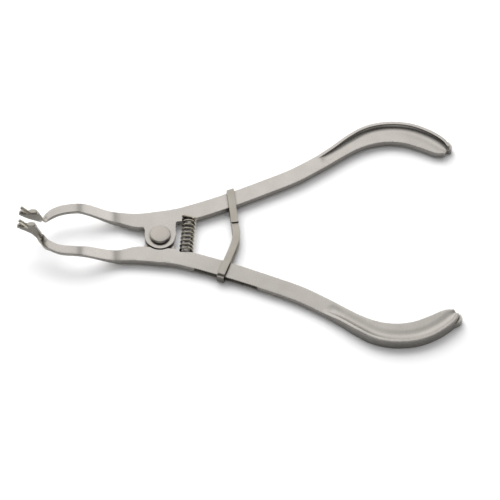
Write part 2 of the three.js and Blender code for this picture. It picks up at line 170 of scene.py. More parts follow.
def catmull(points, steps):
    """Centripetal Catmull-Rom curve through a row of points, with this many steps between neighbours."""
    p = np.array(points, float)
    p = np.vstack([2 * p[0] - p[1], p, 2 * p[-1] - p[-2]])
    out = []
    for k in range(1, len(p) - 2):
        gaps = [max(np.linalg.norm(p[k + j] - p[k + j - 1]), 1e-6) ** 0.5 for j in (0, 1, 2)]
        d0, d1, d2 = gaps
        t1 = ((p[k] - p[k - 1]) / d0 - (p[k + 1] - p[k - 1]) / (d0 + d1) + (p[k + 1] - p[k]) / d1) * d1
        t2 = ((p[k + 1] - p[k]) / d1 - (p[k + 2] - p[k]) / (d1 + d2) + (p[k + 2] - p[k + 1]) / d2) * d1
        for s in np.arange(steps) / steps:
            c2 = -3 * p[k] + 3 * p[k + 1] - 2 * t1 - t2
            c3 = 2 * p[k] - 2 * p[k + 1] + t1 + t2
            out.append(p[k] + t1 * s + c2 * s * s + c3 * s ** 3)
    out.append(p[-2])
    return np.array(out)


def filleted(points, reach, steps=8):
    """A line through points with each inner corner rounded, starting this far before it."""
    p = [np.array(q, float) for q in points]
    out = [p[0]]
    for before, corner, after in zip(p, p[1:], p[2:]):
        back, on = before - corner, after - corner
        r = min(reach, np.linalg.norm(back) / 2, np.linalg.norm(on) / 2)
        a = corner + back / np.linalg.norm(back) * r
        b = corner + on / np.linalg.norm(on) * r
        for s in np.linspace(0, 1, steps + 1):
            out.append((1 - s) ** 2 * a + 2 * s * (1 - s) * corner + s * s * b)
    out.append(p[-1])
    return np.array(out)


def resampled(line, spacing):
    """The same line with points about this far apart."""
    line = np.array(line, float)
    lengths = np.linalg.norm(np.diff(line, axis=0), axis=1)
    at = np.concatenate([[0], np.cumsum(lengths)])
    count = max(int(round(at[-1] / spacing)), 2)
    wanted = np.linspace(0, at[-1], count + 1)
    return np.stack([np.interp(wanted, at, line[:, k]) for k in range(line.shape[1])], axis=1)


def skin(rows, closed_ends=True):
    """Vertices and faces of a closed skin through rows of points, each row a loop of the same length."""
    count = len(rows[0])
    vertices = np.concatenate([np.array(r, float) for r in rows])
    faces = []
    for r in range(len(rows) - 1):
        for c in range(count):
            a = r * count + c
            b = r * count + (c + 1) % count
            faces.append((a, b, b + count, a + count))
    if closed_ends:
        faces.append(tuple(reversed(range(count))))
        last = (len(rows) - 1) * count
        faces.append(tuple(range(last, last + count)))
    return vertices, faces


def new_object(name, vertices, faces):
    """An object whose mesh has outward faces, still in millimetres."""
    mesh = bpy.data.meshes.new(name)
    mesh.from_pydata([tuple(v) for v in vertices], [], faces)
    mesh.update()
    volume = 0.0
    for polygon in mesh.polygons:
        volume += polygon.center.dot(polygon.normal) * polygon.area
    if volume < 0:
        mesh.flip_normals()
    obj = bpy.data.objects.new(name, mesh)
    bpy.context.scene.collection.objects.link(obj)
    return obj


def boolean(obj, other, operation):
    """Joins other to obj, or cuts it away, and removes other."""
    modifier = obj.modifiers.new("boolean", "BOOLEAN")
    modifier.operation = operation
    modifier.solver = "MANIFOLD"
    modifier.object = other
    bpy.context.view_layer.update()
    made = bpy.data.meshes.new_from_object(obj.evaluated_get(bpy.context.evaluated_depsgraph_get()))
    obj.modifiers.clear()
    obj.data = made
    bpy.data.objects.remove(other)


def join(obj, other):
    boolean(obj, other, "UNION")


def cut(obj, other):
    boolean(obj, other, "DIFFERENCE")


def inset_outline(points, distance):
    """A closed counterclockwise outline moved inwards."""
    p = np.array(points, float)
    before, after = np.roll(p, 1, axis=0), np.roll(p, -1, axis=0)
    d0, d1 = p - before, after - p
    d0 /= np.linalg.norm(d0, axis=1)[:, None]
    d1 /= np.linalg.norm(d1, axis=1)[:, None]
    n0 = np.stack([-d0[:, 1], d0[:, 0]], axis=1)
    n1 = np.stack([-d1[:, 1], d1[:, 0]], axis=1)
    bisector = n0 + n1
    bisector /= np.maximum((bisector * n0).sum(axis=1), 0.5)[:, None]
    return p + bisector * distance


def plate(outline, bottom, top, edge_bottom=0.0, edge_top=0.0, name="plate", steps=3):
    """A flat piece with rounded edges, from a counterclockwise outline in XY."""
    rows = []
    turns = np.linspace(0, math.pi / 2, steps + 1)
    lower = [(edge_bottom * (1 - math.sin(a)), bottom + edge_bottom * (1 - math.cos(a))) for a in turns]
    upper = [(edge_top * (1 - math.cos(a)), top - edge_top * (1 - math.sin(a))) for a in turns]
    for inset, z in (lower if edge_bottom else [(0, bottom)]) + (upper if edge_top else [(0, top)]):
        flat = inset_outline(outline, inset)
        rows.append(np.column_stack([flat, np.full(len(flat), z)]))
    return new_object(name, *skin(rows))


def lathe(profile, sides=96, name="lathe"):
    """A solid of revolution about Z, from (radius, z) points that start and end on the axis."""
    ring = np.linspace(0, 2 * math.pi, sides, endpoint=False)
    vertices = [(0.0, 0.0, profile[0][1])]
    for radius, z in profile[1:-1]:
        vertices += [(radius * math.cos(a), radius * math.sin(a), z) for a in ring]
    vertices.append((0.0, 0.0, profile[-1][1]))
    rings = len(profile) - 2
    faces = [(0, 1 + (c + 1) % sides, 1 + c) for c in range(sides)]
    for r in range(rings - 1):
        for c in range(sides):
            a = 1 + r * sides + c
            b = 1 + r * sides + (c + 1) % sides
            faces.append((a, b, b + sides, a + sides))
    last, top = 1 + (rings - 1) * sides, len(vertices) - 1
    faces += [(last + c, last + (c + 1) % sides, top) for c in range(sides)]
    return new_object(name, vertices, faces)


def transformed(obj, function):
    """Moves every vertex of obj by a function of an array of points."""
    count = len(obj.data.vertices)
    flat = np.zeros(count * 3)
    obj.data.vertices.foreach_get("co", flat)
    moved = function(flat.reshape(-1, 3))
    obj.data.vertices.foreach_set("co", np.ascontiguousarray(moved).ravel())
    obj.data.update()
    return obj


def mirrored(obj):
    transformed(obj, lambda p: p * (1, -1, 1))
    obj.data.flip_normals()
    return obj


def finish_mesh(obj, sharp=38):
    """Metres, smooth faces with crisp edges, and normals that keep large faces flat."""
    transformed(obj, lambda p: p * MM)
    obj.data.shade_smooth()
    obj.data.set_sharp_from_angle(angle=math.radians(sharp))
    modifier = obj.modifiers.new("flat_faces", "WEIGHTED_NORMAL")
    modifier.keep_sharp = True
    modifier.weight = 80
    return obj


# ---- arms ------------------------------------------------------------------------------------------------


def station(inner, outer, bottom=PLATE_BOTTOM, top=PLATE_TOP, grip=0.0, edge=EDGE):
    """Four corners (inner bottom, inner top, outer top, outer bottom), how much grip, and the edge radius."""
    corners = [(*inner, bottom), (*inner, top), (*outer, top), (*outer, bottom)]
    return corners, grip, edge


def twisted_station(inner_bottom, inner_top, outer_top, outer_bottom):
    """The band twists on edge: its inner edge becomes the blade's top and its top becomes the outer face."""
    return [inner_bottom, inner_top, outer_top, outer_bottom], 0.0, BEAK_EDGE


def blade_station(top, bottom, y_top, y_bottom):
    """A section of the blade, from its top (x, z) to its underside (x, z), each with inner and outer y."""
    corners = [(top[0], y_top[0], top[1]), (top[0], y_top[1], top[1])]
    corners += [(bottom[0], y_bottom[1], bottom[1]), (bottom[0], y_bottom[0], bottom[1])]
    return corners, 0.0, BEAK_EDGE


ARM_STATIONS = [
    station((110.6, 35.4), (112.9, 38.9), grip=1),
    station((107.8, 35.5), (111.3, 41.4), grip=1),
    station((101.8, 38.1), (105.8, 45.7), grip=1),
    station((95.4, 40.5), (97.7, 49.2), grip=1),
    station((89.0, 41.2), (88.5, 49.97), grip=1),
    station((82.6, 40.2), (80.4, 48.2), grip=1),
    station((77.2, 38.1), (73.5, 44.2), grip=0.95),
    station((71.2, 34.6), (67.3, 39.6), grip=0.6),
    station((64.2, 30.0), (60.7, 35.4)),
    station((54.0, 24.0), (51.3, 29.95)),
    station((42.5, 18.9), (39.9, 24.9)),
    station((28.2, 13.0), (25.6, 19.2)),
    station((15.8, 8.5), (13.3, 14.8)),
    station((7.1, 5.9), (5.6, 12.5)),
    station((-1.0, 4.8), (-1.2, 11.5)),
    station((-9.0, 4.3), (-9.0, 10.65)),
    station((-15.5, 6.0), (-15.6, 10.95)),
    station((-19.2, 6.5), (-19.2, 11.1), 2.7, 4.8),
    station((-27.5, 7.3), (-27.5, 11.7), 7.6, 9.0),
    station((-31.5, 7.6), (-31.5, 11.7), BEAK_BOTTOM, BEAK_TOP, edge=BEAK_EDGE),
    station((-38.3, 6.7), (-38.3, 10.8), BEAK_BOTTOM, BEAK_TOP, edge=BEAK_EDGE),
    station((-42.1, 4.8), (-42.1, 9.0), BEAK_BOTTOM, BEAK_TOP, edge=BEAK_EDGE),
    twisted_station((-43.4, 3.7, 9.2), (-43.3, 3.3, 10.4), (-43.3, 7.85, 9.9), (-43.3, 7.8, 8.5)),
    twisted_station((-44.2, 2.9, 10.5), (-44.1, 2.7, 11.5), (-44.4, 6.6, 9.7), (-44.4, 6.3, 8.2)),
    blade_station((-44.7, 12.7), (-45.4, 9.0), (2.5, 3.8), (4.0, 5.4)),
    blade_station((-45.1, 14.0), (-46.3, 10.6), (2.45, 3.85), (3.15, 4.5)),
    blade_station((-45.7, 15.6), (-47.3, 12.0), (2.35, 3.85), (2.5, 4.1)),
    blade_station((-46.3, 17.5), (-48.4, 13.2), (2.15, 3.75), (2.2, 3.85)),
    blade_station((-47.6, 18.5), (-49.5, 14.1), (2.0, 3.7), (2.1, 3.75)),
    blade_station((-49.6, 18.4), (-50.7, 15.1), (2.0, 3.75), (2.2, 3.7)),
    blade_station((-51.6, 18.1), (-52.1, 16.2), (2.05, 3.75), (2.3, 3.7)),
    blade_station((-53.4, 18.0), (-53.4, 17.1), (2.3, 3.6), (2.5, 3.5)),
]


def flute_height(u, depth, rise):
    """Height over the plate across the flute: a short fall to the floor, then a quarter round to the rim."""
    floor_at = 0.5
    if u < floor_at:
        return -depth * smooth(u / floor_at)
    across = (u - floor_at) / (1 - floor_at)
    return -depth + (depth + rise) * (1 - math.sqrt(max(1 - across * across, 0.0)))


def half_profile(width, thickness, grip, flute, edge):
    """One face of the section from the inner edge to the outer edge, as (distance across, height over it)."""
    edge = min(edge, width * 0.3, thickness * 0.45)
    rim_edge = mix(0.02, 0.16, grip)
    root = width - min(FLANGE_WIDTH, width * 0.3)
    lip = root - min(FLUTE_WIDTH, root * 0.85)
    rise = FLANGE_RISE * grip
    depth = mix(FLUTE_START_DEPTH, FLUTE_FLOOR, min(grip * 1.6, 1)) * flute
    quarter = np.linspace(0, math.pi / 2, 5)
    points = [(edge * (1 - math.cos(a)), -edge * (1 - math.sin(a))) for a in quarter]
    for u in np.sin(np.linspace(0, math.pi / 2, 15)):
        points.append((mix(lip, root, u), flute_height(u, depth, rise - rim_edge * grip)))
    for a in quarter[1:]:
        points.append((root + rim_edge * (1 - math.cos(a)), rise - rim_edge * (1 - math.sin(a)) * grip))
    points += [(width - edge * (1 - math.sin(a)), rise - edge * (1 - math.cos(a))) for a in quarter]
    return points


def section(corners, grip, edge, start_depth):
    """The loop of points round the arm at one place along it."""
    inner_bottom, inner_top, outer_top = [np.array(c) for c in corners[:3]]
    up = inner_top - inner_bottom
    thickness = np.linalg.norm(up)
    up /= thickness
    width = np.linalg.norm(outer_top - inner_top)
    across = (outer_top - inner_top) / width
    x = (inner_top[0] + outer_top[0]) / 2
    flute = smooth((x - FLUTE_START_X) / FLUTE_RUN_IN) * mix(start_depth, 1.0, grip)
    fall = FACE_FALL * smooth((x - 2) / 24)
    face = half_profile(width, thickness, grip, flute, edge)
    top = [inner_top + across * s + up * (h - fall * s / width) for s, h in face]
    drop = (FLANGE_DROP - FLANGE_RISE) * grip
    bottom = []
    for s, h in reversed(half_profile(width, thickness, grip, flute * grip, edge)):
        low = inner_bottom + across * s
        extra = drop * max(h / FLANGE_RISE, 0.0)
        bottom.append(low - up * (h + extra))
    return np.array(top + bottom)


def settled(p, side):
    """An arm's points where it really lies: a little to -Y of the joint, the lower tip further out."""
    x, y, z = p[:, 0], p[:, 1], p[:, 2]
    part = np.clip((x + 17) / 11, 0, 1)
    y = y - side * ARM_SHIFT * part * part * (3 - 2 * part)
    if side < 0:
        tip = np.clip((-41 - x) / 5, 0, 1)
        x = x - LOWER_TIP_REACH * tip * tip * (3 - 2 * tip)
    return np.stack([x, y, z], axis=1)


def end_rows(row, outward, reach):
    """Rows that round off the end of the arm after its last section."""
    centre = row.mean(axis=0)
    rows = []
    for turn in (0.35, 0.7, 0.95):
        shrink = 1 - 0.16 * (1 - math.cos(turn * math.pi / 2))
        rows.append(centre + (row - centre) * shrink + outward * reach * math.sin(turn * math.pi / 2))
    return rows


def arm_rails():
    return [catmull([s[0][k] for s in ARM_STATIONS], STEPS_PER_STATION) for k in range(4)]


def arm_body(side):
    rails = arm_rails()
    start_depth = UPPER_FLUTE_START if side > 0 else LOWER_FLUTE_START
    extras = catmull([(n * 10.0, s[1], s[2]) for n, s in enumerate(ARM_STATIONS)], STEPS_PER_STATION)
    rows = []
    for k in range(len(extras)):
        grip = min(max(extras[k][1], 0.0), 1.0)
        rows.append(section([rail[k] for rail in rails], grip, extras[k][2], start_depth))
    heel_way = rows[0].mean(axis=0) - rows[2].mean(axis=0)
    rows = end_rows(rows[0], heel_way / np.linalg.norm(heel_way), HEEL_REACH)[::-1] + rows
    rows += end_rows(rows[-1], np.array((-1.0, 0.0, 0.1)), TIP_REACH)
    return new_object("arm", *skin([settled(row, side) for row in rows]))


def tab_outline(right):
    """The tab that carries the ear, counterclockwise, with a concave crotch on the beak side."""
    crotch = -EAR_RADIUS - CROTCH_RADIUS
    outline = [(right, TAB_REACH), (crotch, TAB_REACH)]
    outline += arc((crotch, TAB_REACH - 2 * CROTCH_RADIUS), CROTCH_RADIUS, 90, 0, 18)
    outline += arc((0, 0), EAR_RADIUS, 180, 360 - 24, 72)
    outline.append((right - 0.12, 0.0))
    return outline


def block(x_range, y_range, z_range, edge=0.0):
    (x0, x1), (y0, y1), (z0, z1) = x_range, y_range, z_range
    return plate([(x0, y0), (x1, y0), (x1, y1), (x0, y1)], z0, z1, edge, edge)


def tube_cut(radius, bottom, top, chamfer=0.0):
    """A cutter for a round hole or recess whose mouth opens at the top."""
    if chamfer:
        profile = [(0, bottom), (radius, bottom), (radius, PLATE_TOP - chamfer)]
        profile += [(radius + chamfer + top - PLATE_TOP, top), (0, top)]
    else:
        profile = [(0, bottom), (radius, bottom), (radius, top), (0, top)]
    return lathe(profile, 128)


def heel_lug(side):
    outline = [(108.0, 41.0), (111.4, 36.9), (113.6, 36.9), (114.2, 38.6), (113.2, 40.4), (110.6, 41.7)]
    outline = [(x, y + 0.4 - side * ARM_SHIFT) for x, y in outline]
    return plate(outline, 0.1, 3.3, 0.3, 0.3)


def tip_reach(side):
    return 0.0 if side > 0 else -LOWER_TIP_REACH


def lean_and_place(p, side):
    """From a pin's own frame, along Z, to its place in the tip."""
    c, s = math.cos(PIN_LEAN), math.sin(PIN_LEAN)
    x = p[:, 0] * c - p[:, 2] * s + PIN_X + tip_reach(side)
    z = p[:, 0] * s + p[:, 2] * c + PIN_FOOT
    return np.stack([x, p[:, 1] + side * TIP_MIDDLE, z], axis=1)


def ellipsoid(centre, radii, sides=40, rings=18):
    turns = np.linspace(0, math.pi, rings + 1)
    profile = [(math.sin(a), -math.cos(a)) for a in turns]
    ball = lathe(profile, sides)
    return transformed(ball, lambda p: p * radii + centre)


def add_tip_details(arm, side):
    """The pad behind the pin that the clamp rests on, a lobe in front of it, and hollows between them."""
    reach = tip_reach(side)
    turns = np.linspace(0, 2 * math.pi, 48, False)
    pad = [(PAD_X + reach + PAD_LENGTH / 2 * math.cos(a), TIP_MIDDLE + math.sin(a)) for a in turns]
    join(arm, plate(pad, TIP_TOP - 1.1, TIP_TOP, 0.25, 0.25))
    join(arm, ellipsoid((-52.75 + reach, TIP_MIDDLE, TIP_TOP - 0.95), (0.8, 1.0, 0.85)))
    join(arm, ellipsoid((-50.5 + reach, TIP_MIDDLE, TIP_TOP - 1.2), (1.5, 0.95, 0.75)))
    cut(arm, ellipsoid((-47.6 + reach, TIP_INNER - 0.2, TIP_TOP - 0.75), (1.5, 0.55, 0.32)))
    cut(arm, ellipsoid((-46.4 + reach, TIP_OUTER + 0.25, TIP_TOP - 1.5), (0.9, 0.3, 1.6)))
    wedge = ellipsoid((0, 0, 0), (0.45, 0.4, 1.9))
    slope = math.radians(20)
    c, s = math.cos(slope), math.sin(slope)
    place = np.array((-45.15 + reach, 4.25, 12.6))

    def lean(p):
        return np.stack([p[:, 0] * c - p[:, 2] * s, p[:, 1], p[:, 0] * s + p[:, 2] * c], axis=1) + place

    cut(arm, transformed(wedge, lean))


def tooth_cutter(side):
    """A sawtooth strip along the edge that the ring runs on."""
    edge = settled(arm_rails()[2], side)[:, :2] * (1, side)
    edge = edge[np.argsort(edge[:, 0])]
    lengths = np.concatenate([[0], np.cumsum(np.linalg.norm(np.diff(edge, axis=0), axis=1))])
    start = np.interp(TOOTH_FIRST_X, edge[:, 0], lengths)

    def on_edge(run):
        return np.array((np.interp(run, lengths, edge[:, 0]), np.interp(run, lengths, edge[:, 1])))

    def place(run, out):
        at = on_edge(run)
        ahead = on_edge(run + 0.5) - at
        ahead /= np.linalg.norm(ahead)
        return at[0] + ahead[1] * out, at[1] - ahead[0] * out

    points = []
    for tooth in range(TOOTH_COUNT):
        run = start + tooth * TOOTH_PITCH
        points.append(place(run + 0.01, -TOOTH_DEPTH))
        points.append(place(run + TOOTH_PITCH - 0.05, 0.02))
    end = start + TOOTH_COUNT * TOOTH_PITCH
    points += [place(end, 2.0), place(start, 2.0)]
    return plate(points[::-1], PLATE_BOTTOM - 1, PLATE_TOP + 1)


def arm_piece(name, side, spring_x, tab_right):
    in_front = side > 0
    half_gap = LAP_GAP / 2
    ear = (LAP_LEVEL + half_gap, PLATE_TOP) if in_front else (PLATE_BOTTOM, LAP_LEVEL - half_gap)
    arm = arm_body(side)
    ear_edges = (0.0, 0.2) if in_front else (0.2, 0.0)
    join(arm, plate(tab_outline(tab_right), *ear, *ear_edges, steps=4))
    reach = SPRING_RADIUS + WIRE_RADIUS + SEAT_CLEARANCE
    cut(arm, block((spring_x - reach, spring_x + reach), (0, SPRING_SEAT), (PLATE_BOTTOM - 1, PLATE_TOP + 1)))
    if in_front:
        centre = (tab_right + WINDOW_CORNER, WINDOW_TOP - WINDOW_CORNER)
        corner = arc(centre, WINDOW_CORNER, 90, 180, 8)
        window = [(spring_x, WINDOW_TOP), *corner, (tab_right, 2.0), (spring_x, 2.0)]
        cut(arm, plate(window, PLATE_BOTTOM - 1, PLATE_TOP + 1))
    tang_x = (spring_x - TANG_WIDTH / 2, spring_x + TANG_WIDTH / 2)
    tang_z = (LAP_LEVEL - TANG_HEIGHT / 2, LAP_LEVEL + TANG_HEIGHT / 2)
    join(arm, block(tang_x, (SPRING_SEAT - TANG_LENGTH, SPRING_SEAT + 1), tang_z, 0.3))
    recess = EAR_RADIUS + EAR_CLEARANCE
    if in_front:
        cut(arm, tube_cut(recess, PLATE_BOTTOM - 1, LAP_LEVEL + half_gap))
    else:
        cut(arm, tube_cut(recess, LAP_LEVEL - half_gap, PLATE_TOP + 0.5, chamfer=0.16))
    cut(arm, tube_cut(RIVET_RADIUS + 0.1, PLATE_BOTTOM - 1, PLATE_TOP + 1))
    join(arm, heel_lug(side))
    add_tip_details(arm, side)
    if side < 0:
        mirrored(arm)
        cut(arm, tooth_cutter(side))
    arm.name = name
    return finish_mesh(arm)


# ---- rivet, burr and pins --------------------------------------------------------------------------------


def rounded_profile(corners, radius, steps=4):
    """A lathe profile whose inner corners are rounded."""
    rounded = filleted(corners, radius, steps)
    return [tuple(p) for p in rounded]


def rivet_piece():
    crown = 0.06
    rim = RIVET_HEAD_RADIUS
    profile = rounded_profile(
        [
            (0, 0.9),
            (RIVET_RADIUS, 0.9),
            (RIVET_RADIUS, PLATE_TOP + 0.04),
            (rim - 0.05, PLATE_TOP + 0.04),
            (rim, PLATE_TOP + 0.25),
            (rim - 0.04, RIVET_HEAD_TOP - 0.45),
            (rim - 0.42, RIVET_HEAD_TOP - crown),
            (rim * 0.5, RIVET_HEAD_TOP - crown * 0.25),
            (0, RIVET_HEAD_TOP),
        ],
        0.16,
    )
    rivet = lathe(profile, 128)
    rivet.name = "rivet_visual"
    return finish_mesh(rivet, 50)


def burr_piece():
    """The washer at the back, with the rivet's end peened over it."""
    top = PLATE_BOTTOM - 0.05
    profile = rounded_profile(
        [
            (0, 0.12),
            (1.5, 0.16),
            (2.35, 0.42),
            (2.6, 0.5),
            (3.1, 0.5),
            (BURR_RADIUS - 0.1, 0.75),
            (BURR_RADIUS, 1.1),
            (BURR_RADIUS, top),
            (0, top),
        ],
        0.15,
    )
    burr = lathe(profile, 96)
    burr.name = "burr_visual"
    return finish_mesh(burr, 50)


def pin_piece(name, side):
    profile = [(0, -PIN_SUNK), (PIN_RADIUS + 0.2, -PIN_SUNK), (PIN_RADIUS + 0.14, 0.0)]
    profile += [(PIN_RADIUS + 0.02, 0.35), (PIN_RADIUS - 0.06, PIN_PROUD - 0.4)]
    for a in np.linspace(0.3, 1.3, 5):
        profile.append((mix(PIN_RADIUS - 0.06, 0, 1 - math.cos(a)), PIN_PROUD - 0.4 + 0.4 * math.sin(a)))
    profile.append((0, PIN_PROUD))
    pin = lathe(profile, 40)
    transformed(pin, lambda p: lean_and_place(p, side))
    pin.name = name
    return finish_mesh(pin, 60)


# ---- return spring ---------------------------------------------------------------------------------------


def tube(line, radius, sides=14, name="tube"):
    """A round wire along a line of points, with rounded ends and no twist."""
    p = np.array(line, float)
    tangents = np.gradient(p, axis=0)
    tangents /= np.linalg.norm(tangents, axis=1)[:, None]
    side = np.cross(tangents[0], (0.0, 0.0, 1.0))
    if np.linalg.norm(side) < 0.1:
        side = np.cross(tangents[0], (0.0, 1.0, 0.0))
    ring = np.linspace(0, 2 * math.pi, sides, endpoint=False)
    rows = []
    for k, (at, t) in enumerate(zip(p, tangents)):
        side = side - t * side.dot(t)
        side /= np.linalg.norm(side)
        up = np.cross(t, side)
        circle = np.outer(np.cos(ring), side) + np.outer(np.sin(ring), up)
        if k == 0:
            rows += [at - t * radius * c + circle * radius * s for c, s in ((0.9, 0.4), (0.6, 0.8))]
        rows.append(at + circle * radius)
        if k == len(p) - 1:
            rows += [at + t * radius * c + circle * radius * s for c, s in ((0.6, 0.8), (0.9, 0.4))]
    return new_object(name, *skin(rows))


def spring_line():
    """Coils that stand apart in the middle and close up at both ends. The tail is added afterwards."""
    end = SPRING_SEAT - 0.06 - WIRE_RADIUS
    closed = 2 * WIRE_RADIUS + 0.06
    open_turns = 7.0
    pitch = (2 * end - 2 * 0.85 * closed) / open_turns
    turns = open_turns + 1.7
    points = []
    for turn in np.arange(0, turns, 1 / 40):
        if turn < 0.85:
            y = -end + turn * closed
        elif turn < 0.85 + open_turns:
            y = -end + 0.85 * closed + (turn - 0.85) * pitch
        else:
            y = end - (turns - turn) * closed
        t = (y + end) / (2 * end)
        angle = turn * 2 * math.pi + SPRING_START_ANGLE
        x = mix(SPRING_LOWER_X, SPRING_UPPER_X, t) + SPRING_RADIUS * math.cos(angle)
        points.append((x, y, SPRING_LEVEL + SPRING_RADIUS * math.sin(angle)))
    return points


SPRING_START_ANGLE = math.radians(200)
TAIL = [(14.1, 6.9, 4.55), (11.6, 7.75, 4.5), (9.0, 8.5, 4.47)]


def spring_piece():
    coils = spring_line()
    line = resampled(catmull(coils[::4] + TAIL, 6), 0.28)
    spring = tube(line, WIRE_RADIUS, 14, "spring_visual")
    return finish_mesh(spring, 60)


# ---- locking ring ----------------------------------------------------------------------------------------

RING_TOP = (27.3, 20.3)
RING_LAP = (28.8, 4.6)
RING_LAP_LENGTH = 4.5
RING_KNEE = (29.4, -1.0)
RING_BEND = (28.5, -5.0)
RING_BOTTOM = (22.6, -19.7)
RING_TOP_SLOPE = 0.25
RING_WRAP = 0.65
RING_BEND_RADIUS = 0.85


def strip(line, headings, thickness, width, name):
    """A flat strip along a line. Headings give its direction seen along Z, even where it turns over."""
    p = np.array(line, float)
    tangents = np.gradient(p, axis=0)
    tangents /= np.linalg.norm(tangents, axis=1)[:, None]
    corner = np.linspace(0, math.pi / 2, 4)
    rows = []
    for at, t, heading, thick in zip(p, tangents, headings, thickness):
        edge = thick * 0.25
        half_w, half_t = width / 2 - edge, thick / 2 - edge
        shape = []
        for sx, sy, start in ((1, 1, 0), (-1, 1, 90), (-1, -1, 180), (1, -1, 270)):
            turn = corner + math.radians(start)
            shape += [(sx * half_w + edge * math.cos(a), sy * half_t + edge * math.sin(a)) for a in turn]
        across = np.array((-heading[1], heading[0], 0.0))
        normal = np.cross(t, across)
        normal /= np.linalg.norm(normal)
        rows.append(np.array([at + across * a + normal * b for a, b in shape]))
    return new_object(name, *skin(rows))


def leg(points, z):
    flat = resampled(filleted(points, 2.2), 0.5)
    return np.column_stack([flat, np.full(len(flat), z)])


def turn_over(end, heading, z_from, z_to, steps=14):
    """The strip's half turn round a handle's outer edge."""
    radius = RING_BEND_RADIUS
    points = []
    sign = 1 if z_to > z_from else -1
    for a in np.linspace(0, math.pi / 2, steps // 2 + 1):
        out = radius * math.sin(a)
        z = z_from + sign * radius * (1 - math.cos(a))
        points.append((end[0] + heading[0] * out, end[1] + heading[1] * out, z))
    for a in np.linspace(0, math.pi / 2, steps // 2 + 1):
        out = radius * math.cos(a)
        z = z_to - sign * radius * (1 - math.sin(a))
        points.append((end[0] + heading[0] * out, end[1] + heading[1] * out, z))
    return np.array(points)


def unit(v):
    v = np.array(v, float)
    return v / np.linalg.norm(v)


def ring_piece():
    """One strip, from the front lap over the upper handle, along the back and up under the lap again."""
    inset = RING_BEND_RADIUS + RING_WRAP / 2
    up_way = unit(np.subtract(RING_TOP, RING_LAP))
    down_way = unit(np.subtract(RING_BOTTOM, RING_BEND))
    top = np.array(RING_TOP) - up_way * inset
    bottom = np.array(RING_BOTTOM) - down_way * inset
    upper = leg([RING_LAP, top], RING_FRONT)
    over = turn_over(top, up_way, RING_FRONT, RING_BACK)
    back = leg([top, RING_LAP, RING_KNEE, RING_BEND, bottom], RING_BACK)
    under = turn_over(bottom, down_way, RING_BACK, RING_FRONT)
    tucked = np.array(RING_LAP) + up_way * RING_LAP_LENGTH
    lower = leg([bottom, RING_BEND, RING_KNEE, RING_LAP, tucked], RING_FRONT)
    line = resampled(np.vstack([upper, over[1:], back[1:], under[1:], lower[1:]]), 0.33)
    run = np.concatenate([[0], np.cumsum(np.linalg.norm(np.diff(line, axis=0), axis=1))])
    thickness, headings = [], []
    last = up_way
    for at, way, done in zip(line, np.gradient(line[:, :2], axis=0), run):
        thick = RING_STRIP
        if done < run[-1] / 2:
            thick = mix(RING_SCARF, RING_STRIP, smooth((done - RING_LAP_LENGTH - 0.3) / 1.5))
            at[2] += (RING_STRIP - thick) / 2
        else:
            thick = mix(RING_SCARF, RING_STRIP, smooth((run[-1] - done - RING_LAP_LENGTH) / 5.0))
            at[2] -= (RING_STRIP - thick) / 2
        aside = min(max(max(at[1] - top[1], bottom[1] - at[1]) / 0.6, 0.0), 1.0)
        thick = mix(thick, RING_WRAP, smooth(aside))
        thickness.append(thick)
        size = np.linalg.norm(way)
        if size > 0.12:
            facing = way / size
            last = facing if facing[1] * last[1] > 0 or abs(facing[1]) < 0.2 else -facing
        headings.append(last)
    ring = strip(line, headings, thickness, RING_WIDTH, "ring_visual")

    def along_the_handle(p):
        near = np.clip((p[:, 1] - top[1] + 3.0) / 3.0, 0, 1)
        return p + np.stack([0 * near, (p[:, 0] - top[0]) * RING_TOP_SLOPE * near, 0 * near], axis=1)

    transformed(ring, along_the_handle)
    return finish_mesh(ring, 40)


# ---- materials -------------------------------------------------------------------------------------------


